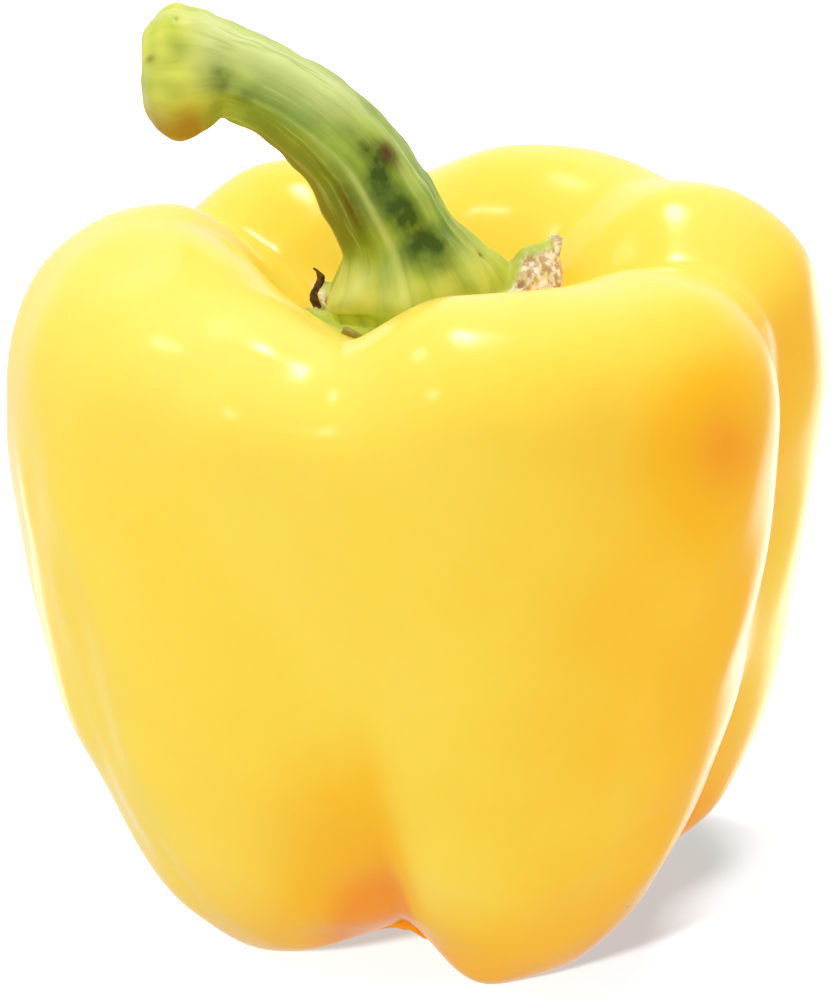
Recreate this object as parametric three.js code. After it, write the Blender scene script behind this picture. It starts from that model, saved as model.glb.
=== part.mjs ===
// Whole yellow bell pepper standing on its blossom end, with its green stem and calyx.
// Millimetres, +Z up. The origin lies on the surface that the fruit stands on, under the
// middle of its outline. Azimuths are degrees, anticlockwise from +X seen from above, so
// the front of the fruit is at 270.

import * as THREE from 'three';
import { mergeVertices } from 'three/addons/utils/BufferGeometryUtils.js';

// Driving dimensions of the fruit
const GIRTH_RADIUS = 45;
const CREST_HEIGHT = 80;
const AXIS_X = -0.3;            // the growth axis stands this far left of the middle
const AXIS_Y = 0.8;             // and this far behind it
const FOOT_PRESS = 0.6;         // depth by which the lowest spots are pressed flat
const FRUIT_COLUMNS = 80;
const FRUIT_ROWS = 40;

// Driving dimensions of the stem and its calyx
const SEAT_GAP = 0.5;           // between the calyx and the fruit
const CALYX_RADIUS = 11;
const STEM_RADIUS = 5.3;        // half way up
const KNOB_RADIUS = 7.2;        // where the stem broke off the plant
const KNOB_DEPTH = 4.3;
const STEM_COLUMNS = 60;

// Middle of a lobe as shares of the girth radius and the crest height, from the seat of the
// stem over the crest and down to the blossom end. A station is a place in this list.
const MERIDIAN = [
  [0.000, 0.856],
  [0.167, 0.860],
  [0.311, 0.895],
  [0.444, 0.960],
  [0.611, 1.000],
  [0.815, 0.980],
  [0.966, 0.892],
  [1.010, 0.744],
  [0.973, 0.575],
  [0.882, 0.388],
  [0.745, 0.213],
  [0.588, 0.075],
  [0.433, 0.000],
  [0.256, 0.025],
  [0.111, 0.081],
  [0.000, 0.094],
];
const LAST_STATION = MERIDIAN.length - 1;
const SEARCH_STEPS = 30;        // halvings that find the station at a given radius

// Where along the meridian each feature swells and fades: station of its peak, start and end
const CREST_ZONE = [4.3, 0.8, 8.0];
const TOP_ZONE = [4.3, 0.8, 8.5];
const SIDE_ZONE = [8.0, 4.0, 13.0];
const HOLLOW_ZONE = [3.2, 1.9, 5.0];
const FOOT_ZONE = [12.2, 8.5, 15.0];
const FOOT_LIFT_ZONE = [12.0, 8.0, 15.0];
const FOOT_REACH_ZONE = [10.7, 7.5, 13.5];
const TWIST_START = 4;
const TWIST_END = 12;

// Grooves between the lobes: azimuth, depth and the degrees that each flank takes, before
// and after the groove, at the top and at the foot
const GROOVES = [
  { top: 254, foot: 266, depth: [4.3, 0.9, 7.0], topFlanks: [40, 24], footFlanks: [62, 28] },
  { top: 357, foot: 352, depth: [5.0, 7.0, 6.0], topFlanks: [36, 24], footFlanks: [40, 26] },
  { top: 36, foot: 55, depth: [1.6, 1.3, 4.5], topFlanks: [24, 24], footFlanks: [28, 24] },
  { top: 93, foot: 93, depth: [3.5, 1.5, 4.0], topFlanks: [24, 24], footFlanks: [24, 24] },
  { top: 143, foot: 143, depth: [5.0, 2.5, 5.0], topFlanks: [24, 36], footFlanks: [24, 40] },
];
// How rounded the bottom of a groove is, anywhere and then added at the top, side and foot
const LEAST_SOFTNESS = 0.03;
const ADDED_SOFTNESS = [0.08, 0.35, 0.12];

// Lobes, as pairs of azimuth and value: right, back, back left, left, front right and its side
const LOBE_REACH = [[17, 1.05], [68, 0.98], [118, 0.965], [198, 0.985], [305, 0.995], [335, 0.985]];
const LOBE_FOOT_LIFT = [[17, 2], [72, -1.1], [118, 2], [198, 0], [305, 0]];
const LOBE_FOOT_REACH = [[17, 5.8], [68, 1.5], [118, 1], [198, 1.8], [305, 1.8], [335, 3.4]];
const RIM_LIFT = [
  [18, 2.4], [52, 2.3], [100, 0.4], [135, 0.8], [168, 1.7],
  [190, 1.2], [222, 0.2], [254, 0.5], [280, 1.4], [325, 0.6],
];
// The left lobe leans in over the hollow
const HOLLOW_LIFT = [[150, 0], [180, 1.5], [206, 2.2], [230, 0.8], [250, 0]];

// Calyx teeth: azimuth, length from the axis, half width in degrees, share of it that is blunt,
// thickness at the tip and lift of the tip. The right tooth is broad and torn off blunt.
const TEETH = [
  { at: 14, reach: 15.6, half: 27, blunt: 0.55, tip: 2.4, lift: 0.3 },
  { at: 92, reach: 14.5, half: 20, blunt: 0.1, tip: 1.0, lift: 0 },
  { at: 141, reach: 14.0, half: 20, blunt: 0.1, tip: 1.0, lift: 0 },
  { at: 198, reach: 12.6, half: 20, blunt: 0.4, tip: 1.4, lift: 0 },
  { at: 247, reach: 18.2, half: 22, blunt: 0.1, tip: 0.9, lift: 0.3 },
  { at: 312, reach: 14.2, half: 20, blunt: 0.1, tip: 1.0, lift: 0 },
];
const WITHERED_TIP = { at: 186, reach: 11.6, half: 9, blunt: 0, tip: 0.9, lift: 5 };
const LIFT_POWER = 7;           // how late on its length a tooth lifts
const TOOTH_POINT = 1.3;        // how hollow the sides of a tooth are
const CALYX_THICKNESS = 1.1;

// Path of the stem's middle, from the calyx to the middle of the knob, and its radius there
// as a share of the radius half way up
const STEM_PATH = [
  { x: -0.5, y: 0.0, z: 71.4, radius: 1.62 },
  { x: -0.8, y: 0.0, z: 74.0, radius: 1.72 },
  { x: -2.2, y: 0.0, z: 79.0, radius: 1.18 },
  { x: -4.2, y: 0.0, z: 83.1, radius: 1.11 },
  { x: -7.5, y: 0.2, z: 88.5, radius: 1.01 },
  { x: -12.5, y: 0.5, z: 93.2, radius: 0.93 },
  { x: -16.8, y: 0.8, z: 95.7, radius: 0.90 },
  { x: -19.8, y: 1.0, z: 96.8, radius: 0.96 },
  { x: -22.6, y: 1.1, z: 97.1, radius: 1.22 },
  { x: -25.2, y: 1.2, z: 97.0, radius: KNOB_RADIUS / STEM_RADIUS },
];
const STEM_STEPS = 26;          // rings on the stem
const STEM_TWIST = 16;          // degrees that the ridges turn on the way up
const RIDGE_HEIGHT = 0.05;      // as a share of the radius
const FLARE_REACH = 3.6;        // the stem widens into the right tooth
const FLARE_RISE = 1.0;         // and the tooth's root stands this much higher than the others'
const FLARE_HALF = 45;          // degrees that the flare takes on either side
const FLARE_END = 0.16;         // share of the stem that it takes
// Shares of the way out at which the calyx has rings, on its underside and on its top
const UNDERSIDE_STEPS = [1, 0.93, 0.82, 0.62, 0.35, 0];
const PLATE_STEPS = [0.25, 0.6, 0.97];
const CAP_STEPS = 5;            // rings on the knob's end
const CAP_DENT = 0.9;           // depth of the dent in the middle of the knob's end
const DENT_POWER = 6;           // how narrow the dent is

function degreesBetween(from, to) {
  return THREE.MathUtils.euclideanModulo(to - from + 180, 360) - 180;
}

// Smooth hump that is 1 at its peak and 0 from its start back and from its end on
function hump(place, [peak, start, end]) {
  const span = place < peak ? peak - start : end - peak;
  const distance = Math.min(Math.abs(place - peak) / span, 1);
  return 0.5 + 0.5 * Math.cos(Math.PI * distance);
}

// Value between the two nearest pairs of azimuth and value, going round the axis
function around(pairs, azimuth) {
  const next = pairs.findIndex(([at]) => at > THREE.MathUtils.euclideanModulo(azimuth, 360));
  const [endAt, endValue] = pairs.at(next < 0 ? 0 : next);
  const [startAt, startValue] = pairs.at(next < 0 ? -1 : next - 1);
  const span = THREE.MathUtils.euclideanModulo(endAt - startAt, 360);
  const share = THREE.MathUtils.euclideanModulo(azimuth - startAt, 360) / span;
  return THREE.MathUtils.lerp(startValue, endValue, 0.5 - 0.5 * Math.cos(Math.PI * share));
}

// The meridian goes on past the axis at both ends, so that it crosses the axis level
const meridianPoints = MERIDIAN.map(([r, z]) => new THREE.Vector2(r * GIRTH_RADIUS, z * CREST_HEIGHT));
const meridian = new THREE.SplineCurve([
  new THREE.Vector2(-meridianPoints[1].x, meridianPoints[1].y),
  ...meridianPoints,
  new THREE.Vector2(-meridianPoints[LAST_STATION - 1].x, meridianPoints[LAST_STATION - 1].y),
]);

function meridianPlace(station) {
  return (station + 1) / (LAST_STATION + 2);
}

// How far the grooves sink the surface at a place
function grooveDepth(azimuth, station) {
  const zones = [TOP_ZONE, SIDE_ZONE, FOOT_ZONE].map((zone) => hump(station, zone));
  const twist = THREE.MathUtils.smoothstep(station, TWIST_START, TWIST_END);
  const softness = zones.reduce((sum, zone, i) => sum + zone * ADDED_SOFTNESS[i], LEAST_SOFTNESS);
  let depth = 0;
  for (const groove of GROOVES) {
    const turn = degreesBetween(THREE.MathUtils.lerp(groove.top, groove.foot, twist), azimuth);
    const side = turn < 0 ? 0 : 1;
    const flank = THREE.MathUtils.lerp(groove.topFlanks[side], groove.footFlanks[side], twist);
    const share = Math.min(Math.abs(turn) / flank, 1);
    const eased = (Math.hypot(share, softness) - softness) / (Math.hypot(1, softness) - softness);
    const full = zones.reduce((sum, zone, i) => sum + zone * groove.depth[i], 0);
    depth += full * (1 - Math.sin((Math.PI / 2) * eased));
  }
  return depth;
}

// Radius and height of the fruit's surface at an azimuth and a station
function fruitProfile(azimuth, station) {
  const place = meridianPlace(station);
  const point = meridian.getPoint(place);
  const along = meridian.getTangent(place);
  const reach = around(LOBE_REACH, azimuth);
  const footReach = around(LOBE_FOOT_REACH, azimuth) * hump(station, FOOT_REACH_ZONE);
  const crestLift = around(RIM_LIFT, azimuth) * hump(station, CREST_ZONE);
  const hollowLift = around(HOLLOW_LIFT, azimuth) * hump(station, HOLLOW_ZONE);
  const footLift = around(LOBE_FOOT_LIFT, azimuth) * hump(station, FOOT_LIFT_ZONE);
  const depth = grooveDepth(azimuth, station);
  const radius = point.x * reach + footReach + along.y * depth;
  const height = point.y + crestLift + hollowLift + footLift - along.x * depth;
  return [radius, Math.max(height - FOOT_PRESS, 0)];
}

// Height of the hollow that the calyx sits in, at a radius from the growth axis
function seatHeight(azimuth, radius) {
  let inner = 0;
  let outer = CREST_ZONE[0];
  for (let i = 0; i < SEARCH_STEPS; i += 1) {
    const middle = (inner + outer) / 2;
    if (fruitProfile(azimuth, middle)[0] < radius) inner = middle;
    else outer = middle;
  }
  return fruitProfile(azimuth, inner)[1];
}

function onAxis(azimuth, radius, height) {
  const angle = THREE.MathUtils.degToRad(azimuth);
  return new THREE.Vector3(AXIS_X + radius * Math.cos(angle), AXIS_Y + radius * Math.sin(angle), height);
}

// Closed body from the grid of a sphere, whose points are put in place by their azimuth and row
function bodyFromGrid(columns, rows, place) {
  const geometry = new THREE.SphereGeometry(1, columns, rows);
  const position = geometry.getAttribute('position');
  for (let row = 0; row <= rows; row += 1) {
    for (let column = 0; column <= columns; column += 1) {
      const azimuth = ((column % columns) / columns) * 360;
      const point = place(azimuth, row);
      position.setXYZ(row * (columns + 1) + column, point.x, point.y, point.z);
    }
  }
  geometry.deleteAttribute('normal');
  geometry.deleteAttribute('uv');
  const merged = mergeVertices(geometry);
  merged.computeVertexNormals();
  return merged;
}

function fruitGeometry() {
  return bodyFromGrid(FRUIT_COLUMNS, FRUIT_ROWS, (azimuth, row) => {
    const station = (row / FRUIT_ROWS) * LAST_STATION;
    return onAxis(azimuth, ...fruitProfile(azimuth, station));
  });
}

// How much of a tooth an azimuth meets: 1 over its blunt middle, 0 at its sides
function toothShare(tooth, azimuth) {
  const share = Math.abs(degreesBetween(tooth.at, azimuth)) / tooth.half;
  return 1 - THREE.MathUtils.clamp((share - tooth.blunt) / (1 - tooth.blunt), 0, 1);
}

function calyxEdge(azimuth) {
  const edge = { reach: CALYX_RADIUS, thickness: CALYX_THICKNESS, lift: 0 };
  for (const tooth of [...TEETH, WITHERED_TIP]) {
    const share = toothShare(tooth, azimuth);
    edge.reach += (tooth.reach - CALYX_RADIUS) * share ** TOOTH_POINT;
    edge.thickness += (tooth.tip - CALYX_THICKNESS) * share;
    edge.lift += tooth.lift * share;
  }
  return edge;
}

// Height of the calyx's underside at a radius from the growth axis
function undersideHeight(azimuth, radius) {
  const { reach, lift } = calyxEdge(azimuth);
  return seatHeight(azimuth, radius) + SEAT_GAP + lift * (radius / reach) ** LIFT_POWER;
}

function undersidePoint(azimuth, share) {
  const radius = calyxEdge(azimuth).reach * share;
  return onAxis(azimuth, radius, undersideHeight(azimuth, radius));
}

const stemPath = new THREE.CatmullRomCurve3(
  STEM_PATH.map(({ x, y, z }) => new THREE.Vector3(AXIS_X + x, AXIS_Y + y, z)), false, 'catmullrom', 0.5);
const stemRadii = new THREE.SplineCurve(
  STEM_PATH.map(({ radius }, i) => new THREE.Vector2(i, radius * STEM_RADIUS)));

// Ridges run up the stem from the teeth, with hollows between them
const RIDGES = TEETH.flatMap(({ at }, i) => {
  const next = TEETH[(i + 1) % TEETH.length].at;
  const hollow = THREE.MathUtils.euclideanModulo(at + degreesBetween(at, next) / 2, 360);
  return [[at, 1], [hollow, -1]];
}).sort((a, b) => a[0] - b[0]);

function stemSection(share) {
  const middle = stemPath.getPoint(share);
  const along = stemPath.getTangent(share);
  const back = new THREE.Vector3(0, 1, 0);
  back.addScaledVector(along, -back.dot(along)).normalize();
  const right = new THREE.Vector3().crossVectors(back, along);
  return { middle, along, back, right };
}

function stemRingPoint(azimuth, share, radius) {
  const { middle, back, right } = stemSection(share);
  const angle = THREE.MathUtils.degToRad(azimuth);
  middle.addScaledVector(right, radius * Math.cos(angle));
  return middle.addScaledVector(back, radius * Math.sin(angle));
}

function stemRadius(azimuth, share) {
  const ridge = 1 + RIDGE_HEIGHT * around(RIDGES, azimuth - STEM_TWIST * share);
  return stemRadii.getPoint(share).y * ridge;
}

// The stem's surface, which spreads and rises into the right tooth near the calyx
function stemPoint(azimuth, share) {
  const fade = Math.max(1 - share / FLARE_END, 0) ** 2;
  const turn = degreesBetween(TEETH[0].at, azimuth);
  const flare = hump(turn, [0, -FLARE_HALF, FLARE_HALF]) * fade;
  const point = stemRingPoint(azimuth, share, stemRadius(azimuth, share) + FLARE_REACH * flare);
  point.z += FLARE_RISE * flare;
  return point;
}

// Rounded end of the knob, slightly dented in the middle
function capPoint(azimuth, turn) {
  const { along } = stemSection(1);
  const radius = stemRadius(azimuth, 1) * Math.cos(turn);
  const depth = KNOB_DEPTH * Math.sin(turn) - CAP_DENT * Math.sin(turn) ** DENT_POWER;
  return stemRingPoint(azimuth, 1, radius).addScaledVector(along, depth);
}

// Top of the calyx, from the foot of the stem out to its edge
function platePoint(azimuth, share) {
  const foot = stemPoint(azimuth, 0);
  const { reach, thickness, lift } = calyxEdge(azimuth);
  const edge = onAxis(azimuth, reach, seatHeight(azimuth, reach) + SEAT_GAP + thickness);
  const point = foot.lerp(edge, share);
  const radius = Math.hypot(point.x - AXIS_X, point.y - AXIS_Y);
  point.z += lift * (radius / reach) ** LIFT_POWER;
  return point;
}

function stemGeometry() {
  const rows = [];
  for (let i = CAP_STEPS; i > 0; i -= 1) {
    rows.push((azimuth) => capPoint(azimuth, (i / CAP_STEPS) * (Math.PI / 2)));
  }
  for (let i = STEM_STEPS; i >= 0; i -= 1) {
    const share = i / STEM_STEPS;
    rows.push((azimuth) => stemPoint(azimuth, share));
  }
  for (const share of PLATE_STEPS) {
    rows.push((azimuth) => platePoint(azimuth, share));
  }
  for (const share of UNDERSIDE_STEPS) {
    rows.push((azimuth) => undersidePoint(azimuth, share));
  }
  return bodyFromGrid(STEM_COLUMNS, rows.length - 1, (azimuth, row) => rows[row](azimuth));
}

function piece(name, geometry, color, roughness) {
  const mesh = new THREE.Mesh(geometry, new THREE.MeshStandardMaterial({ color, roughness, metalness: 0 }));
  mesh.name = name;
  return mesh;
}

const pepper = new THREE.Group();
pepper.add(piece('fruit', fruitGeometry(), 0xfcd044, 0.25));
pepper.add(piece('stem', stemGeometry(), 0x9fb352, 0.5));

export default pepper;
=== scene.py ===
"""Whole yellow bell pepper on a white floor: waxy lobed fruit, green ridged stem, toothed calyx.

Lengths are millimetres until a mesh is made, and azimuths are degrees, anticlockwise from +X seen
from above, so the front of the fruit is at 270.
"""
import math

import bpy
import numpy as np
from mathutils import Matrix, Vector


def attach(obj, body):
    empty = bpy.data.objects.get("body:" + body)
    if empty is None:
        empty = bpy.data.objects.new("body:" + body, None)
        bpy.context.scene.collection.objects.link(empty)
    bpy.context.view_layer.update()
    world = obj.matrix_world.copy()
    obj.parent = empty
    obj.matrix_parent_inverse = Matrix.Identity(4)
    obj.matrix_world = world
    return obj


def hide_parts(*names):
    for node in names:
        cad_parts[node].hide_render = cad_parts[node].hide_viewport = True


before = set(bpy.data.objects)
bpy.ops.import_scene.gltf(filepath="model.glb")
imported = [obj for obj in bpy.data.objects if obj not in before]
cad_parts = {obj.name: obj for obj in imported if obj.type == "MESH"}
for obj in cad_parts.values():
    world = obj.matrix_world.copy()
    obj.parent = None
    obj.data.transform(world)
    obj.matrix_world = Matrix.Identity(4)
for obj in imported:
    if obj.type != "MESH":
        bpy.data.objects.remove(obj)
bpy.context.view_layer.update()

MM = 0.001
AXIS_X = -0.3                   # the growth axis stands this far left of the middle
AXIS_Y = 0.8                    # and this far behind it

# Fruit: the same lobes, grooves and meridian as the solid
GIRTH_RADIUS = 45
CREST_HEIGHT = 80
FOOT_PRESS = 0.6
FRUIT_COLUMNS = 320
FRUIT_ROWS = 230
MERIDIAN = np.array([
    (0.000, 0.856), (0.167, 0.860), (0.311, 0.895), (0.444, 0.960),
    (0.611, 1.000), (0.815, 0.980), (0.966, 0.892), (1.010, 0.744),
    (0.973, 0.575), (0.882, 0.388), (0.745, 0.213), (0.588, 0.075),
    (0.433, 0.000), (0.256, 0.025), (0.111, 0.081), (0.000, 0.094),
])
LAST_STATION = len(MERIDIAN) - 1
SEARCH_STEPS = 30

# Peak, start and end station of each feature along the meridian
CREST_ZONE = (4.3, 0.8, 8.0)
TOP_ZONE = (4.3, 0.8, 8.5)
SIDE_ZONE = (8.0, 4.0, 13.0)
HOLLOW_ZONE = (3.2, 1.9, 5.0)
FOOT_ZONE = (12.2, 8.5, 15.0)
FOOT_LIFT_ZONE = (12.0, 8.0, 15.0)
FOOT_REACH_ZONE = (10.7, 7.5, 13.5)
TWIST_START = 4
TWIST_END = 12

# Azimuth at the top and at the foot, depth at top, side and foot, and flanks in degrees
GROOVES = (
    (254, 266, (4.3, 0.9, 7.0), (40, 24), (62, 28)),
    (357, 352, (5.0, 7.0, 6.0), (36, 24), (40, 26)),
    (36, 55, (1.6, 1.3, 4.5), (24, 24), (28, 24)),
    (93, 93, (3.5, 1.5, 4.0), (24, 24), (24, 24)),
    (143, 143, (5.0, 2.5, 5.0), (24, 36), (24, 40)),
)
LEAST_SOFTNESS = 0.03
ADDED_SOFTNESS = (0.08, 0.35, 0.12)
LOBE_REACH = ((17, 1.05), (68, 0.98), (118, 0.965), (198, 0.985), (305, 0.995), (335, 0.985))
LOBE_FOOT_LIFT = ((17, 2), (72, -1.1), (118, 2), (198, 0), (305, 0))
LOBE_FOOT_REACH = ((17, 5.8), (68, 1.5), (118, 1), (198, 1.8), (305, 1.8), (335, 3.4))
RIM_LIFT = (
    (18, 2.4), (52, 2.3), (100, 0.4), (135, 0.8), (168, 1.7),
    (190, 1.2), (222, 0.2), (254, 0.5), (280, 1.4), (325, 0.6),
)
HOLLOW_LIFT = ((150, 0), (180, 1.5), (206, 2.2), (230, 0.8), (250, 0))
SKIN_SWELL = 0.16               # height of the skin's slow unevenness
SWELL_START = (3.4, 5.2)        # stations between which it sets in, outside the hollow

# Azimuth, station, half sizes and height of small swellings and of the dents down the left flank
SKIN_RELIEF = (
    (242.5, 4.87, 5.6, 0.42, 0.4), (255, 5.1, 3.5, 0.3, 0.12), (241, 5.8, 4, 0.35, 0.15),
    (232, 5.25, 3, 0.35, 0.12), (272, 5.65, 5, 0.45, 0.12), (277, 4.72, 9, 0.42, 0.25),
    (205, 7.8, 4, 0.7, -0.3), (213, 8.6, 4, 0.8, -0.3), (206, 9.6, 4, 0.7, -0.3),
    (216, 10.2, 4, 0.6, -0.25),
)

# The sharp fold at the foot of the front groove, and the orange painted shade to its left and right,
# in degrees
FOLD_DEPTH = 0.9
FOLD_WIDTH = 5
FOLD_ZONE = (11.3, 7.6, 13.3)
FOLD_SHADE_LEFT = 18
FOLD_SHADE_RIGHT = 4

# Seed, count, shortest and longest wavelength of each unevenness
SWELL_WAVES = (7, 26, 10, 32)
MOTTLE_WAVES = (3, 18, 1.8, 6.0)
ROUGH_WAVES = (5, 20, 2.0, 6.0)
TEAR_WAVES = (11, 24, 0.8, 2.2)
CURL_WAVES = (13, 12, 0.5, 1.6)

# Stem and calyx
SEAT_GAP = 0.12
CALYX_RADIUS = 11
STEM_RADIUS = 5.3
KNOB_RADIUS = 7.2
KNOB_DEPTH = 4.9
STEM_COLUMNS = 260
# Azimuth, reach, half width in degrees, blunt share, thickness and lift of the tip
TEETH = (
    (14, 15.6, 27, 0.55, 2.4, 0.3),
    (92, 14.5, 20, 0.1, 1.0, 0),
    (141, 14.0, 20, 0.1, 1.0, 0),
    (198, 12.6, 20, 0.4, 1.4, 0),
    (247, 18.2, 22, 0.1, 0.9, 0.3),
    (312, 14.2, 20, 0.1, 1.0, 0),
)
DRY_TEETH = (TEETH[1], TEETH[2], TEETH[4], TEETH[5])
LIFT_POWER = 7
TOOTH_POINT = 1.3
CALYX_THICKNESS = 1.1
EDGE_ROUND = 0.45
# Middle of the stem and its radius as a share of the radius half way up
STEM_PATH = np.array([
    (-0.5, 0.0, 71.4, 1.62), (-0.8, 0.0, 74.0, 1.72), (-2.2, 0.0, 79.0, 1.18),
    (-4.2, 0.0, 83.1, 1.11), (-7.5, 0.2, 88.5, 1.01), (-12.5, 0.5, 93.2, 0.93),
    (-16.8, 0.8, 95.7, 0.90), (-19.8, 1.0, 96.8, 0.96), (-22.6, 1.1, 97.1, 1.22),
    (-25.2, 1.2, 97.0, KNOB_RADIUS / STEM_RADIUS),
])
STEM_TWIST = 10
RIDGE_TURN = 9                  # the ridges stand this far round from the teeth
RIDGE_HEIGHT = 0.05
FLARE_REACH = 3.6
FLARE_RISE = 1.0
FLARE_HALF = 45
FLARE_END = 0.16
CAP_DENT = 0.9
DENT_POWER = 6
# Count round the stem and height of its fine lines, and count, turn and height of its knob's lumps
STEM_LINES = ((13, 0.004), (19, 0.003), (29, 0.002), (43, 0.001))
LINE_WANDER = 2
LINE_BENDS = 3
KNOB_LUMPS = ((2, 0.8, 0.016), (3, 2.1, 0.02), (5, 4.0, 0.012), (9, 1.0, 0.006))
KNOB_START = 0.76
# Azimuth, place, half sizes and size of the swelling at the base and of the crease at the knob's lip
BASE_SWELLING = (222, 0.15, 32, 0.06, 0.08)
LIP_CREASE = (205, 0.765, 45, 0.035, 0.07)
# The torn flap at the right tooth
FLAP_AT = 12
FLAP_RISE = 3.0
FLAP_ZONE = (0, -17, 26)
FLAP_END = 0.2
FLAP_TIP = 0.5
TIP_ZONE = (-4, -13, 5)
TIP_START = 0.4
ROUGHNESS = 0.07                # height of the stem's unevenness
TEAR = 0.42                     # height of the torn faces' unevenness
CAP_STEPS = 22
STEM_STEPS = 150
PLATE_STEPS = 26
ROUND_STEPS = 7
UNDERSIDE_STEPS = 12
# Spans, counted on from the stem's: per radian of the cap, at the calyx's edge and on its underside
CAP_SPAN = 0.15
EDGE_SPAN = -0.2
UNDERSIDE_SPAN = -0.3


def hump(place, zone):
    peak, start, end = zone
    span = np.where(place < peak, peak - start, end - peak)
    distance = np.clip(np.abs(place - peak) / span, 0, 1)
    return 0.5 + 0.5 * np.cos(np.pi * distance)


def smoothstep(x, start, end):
    share = np.clip((x - start) / (end - start), 0, 1)
    return share * share * (3 - 2 * share)


def degrees_between(start, end):
    return (end - start + 180) % 360 - 180


def around(pairs, azimuth):
    """Value between the two nearest pairs of azimuth and value, going round the axis."""
    at = np.array([pair[0] for pair in pairs], float)
    value = np.array([pair[1] for pair in pairs], float)
    at = np.concatenate([[at[-1] - 360], at, [at[0] + 360]])
    value = np.concatenate([[value[-1]], value, [value[0]]])
    turned = azimuth % 360
    low = np.clip(np.searchsorted(at, turned, side="right") - 1, 0, len(at) - 2)
    share = (turned - at[low]) / (at[low + 1] - at[low])
    share = 0.5 - 0.5 * np.cos(np.pi * share)
    return value[low] * (1 - share) + value[low + 1] * share


def spline(points, before, after, place):
    """Point and direction on a smooth curve through points, at places counted in points."""
    path = np.vstack([before, points, after])
    place = np.clip(place, 0, len(points) - 1)
    low = np.minimum(np.floor(place).astype(int), len(points) - 2)
    t = (place - low)[..., None]
    a, b, c, d = (path[low + i] for i in range(4))
    second = 2 * a - 5 * b + 4 * c - d
    third = 3 * b - a - 3 * c + d
    point = 0.5 * (2 * b + (c - a) * t + second * t**2 + third * t**3)
    along = 0.5 * ((c - a) + 2 * second * t + 3 * third * t**2)
    return point, along / np.linalg.norm(along, axis=-1, keepdims=True)


def waves(seed, count, shortest, longest):
    """Seeded sine waves through space, between two wavelengths."""
    rng = np.random.default_rng(seed)
    direction = rng.normal(size=(count, 3))
    direction /= np.linalg.norm(direction, axis=1, keepdims=True)
    length = np.exp(rng.uniform(math.log(shortest), math.log(longest), count))
    phase = rng.uniform(0, 2 * np.pi, count)
    return direction * (2 * np.pi / length)[:, None], phase


def ripple(points, wave_set):
    """Unevenness of about unit height at each point."""
    vectors, phases = wave_set
    total = np.zeros(points.shape[:-1])
    for vector, phase in zip(vectors, phases):
        total += np.sin(points @ vector + phase)
    return total / math.sqrt(len(phases) / 2)


def on_axis(azimuth, radius, height):
    angle = np.radians(azimuth)
    across, back = AXIS_X + radius * np.cos(angle), AXIS_Y + radius * np.sin(angle)
    return np.stack(np.broadcast_arrays(across, back, height), -1)


def groove_turn(groove, azimuth, station):
    """Degrees past the groove's line, which winds on its way down to the foot."""
    top, foot = groove[:2]
    return degrees_between(top + (foot - top) * smoothstep(station, TWIST_START, TWIST_END), azimuth)


def groove_depth(azimuth, station):
    zones = [hump(station, zone) for zone in (TOP_ZONE, SIDE_ZONE, FOOT_ZONE)]
    twist = smoothstep(station, TWIST_START, TWIST_END)
    softness = LEAST_SOFTNESS + sum(z * s for z, s in zip(zones, ADDED_SOFTNESS))
    depth = 0
    for groove in GROOVES:
        depths, top_flanks, foot_flanks = groove[2:]
        turn = groove_turn(groove, azimuth, station)
        before = top_flanks[0] + (foot_flanks[0] - top_flanks[0]) * twist
        after = top_flanks[1] + (foot_flanks[1] - top_flanks[1]) * twist
        share = np.clip(np.abs(turn) / np.where(turn < 0, before, after), 0, 1)
        eased = (np.hypot(share, softness) - softness) / (np.hypot(1, softness) - softness)
        full = sum(z * d for z, d in zip(zones, depths))
        depth = depth + full * (1 - np.sin(np.pi / 2 * eased))
    return depth


def fruit_profile(azimuth, station):
    """Radius and height of the fruit's surface."""
    points = MERIDIAN * (GIRTH_RADIUS, CREST_HEIGHT)
    mirror = np.array((-1, 1))
    point, along = spline(points, points[1] * mirror, points[-2] * mirror, station)
    depth = groove_depth(azimuth, station)
    radius = point[..., 0] * around(LOBE_REACH, azimuth) + along[..., 1] * depth
    radius = radius + around(LOBE_FOOT_REACH, azimuth) * hump(station, FOOT_REACH_ZONE)
    height = point[..., 1] - along[..., 0] * depth
    height = height + around(RIM_LIFT, azimuth) * hump(station, CREST_ZONE)
    height = height + around(HOLLOW_LIFT, azimuth) * hump(station, HOLLOW_ZONE)
    height = height + around(LOBE_FOOT_LIFT, azimuth) * hump(station, FOOT_LIFT_ZONE)
    return radius, np.maximum(height - FOOT_PRESS, 0)


def seat_height(azimuth, radius):
    """Height of the hollow that the calyx sits in."""
    inner = np.zeros(np.broadcast(azimuth, radius).shape)
    outer = inner + CREST_ZONE[0]
    for _ in range(SEARCH_STEPS):
        middle = (inner + outer) / 2
        short = fruit_profile(azimuth, middle)[0] < radius
        inner = np.where(short, middle, inner)
        outer = np.where(short, outer, middle)
    return fruit_profile(azimuth, inner)[1]


def grid_normals(grid):
    """Outward direction at each point of a grid of rings, from the top ring down."""
    down = np.gradient(grid, axis=0)
    round_axis = np.roll(grid, -1, axis=1) - np.roll(grid, 1, axis=1)
    normal = np.cross(down, round_axis)
    length = np.linalg.norm(normal, axis=-1, keepdims=True)
    return np.where(length > 1e-9, normal / np.maximum(length, 1e-9), 0)


def without_repeats(grid):
    """The grid's values with each end ring, which is a single point, kept once."""
    inner = grid[1:-1].reshape(-1, *grid.shape[2:])
    return np.concatenate([grid[0, :1], inner, grid[-1, :1]])


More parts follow.
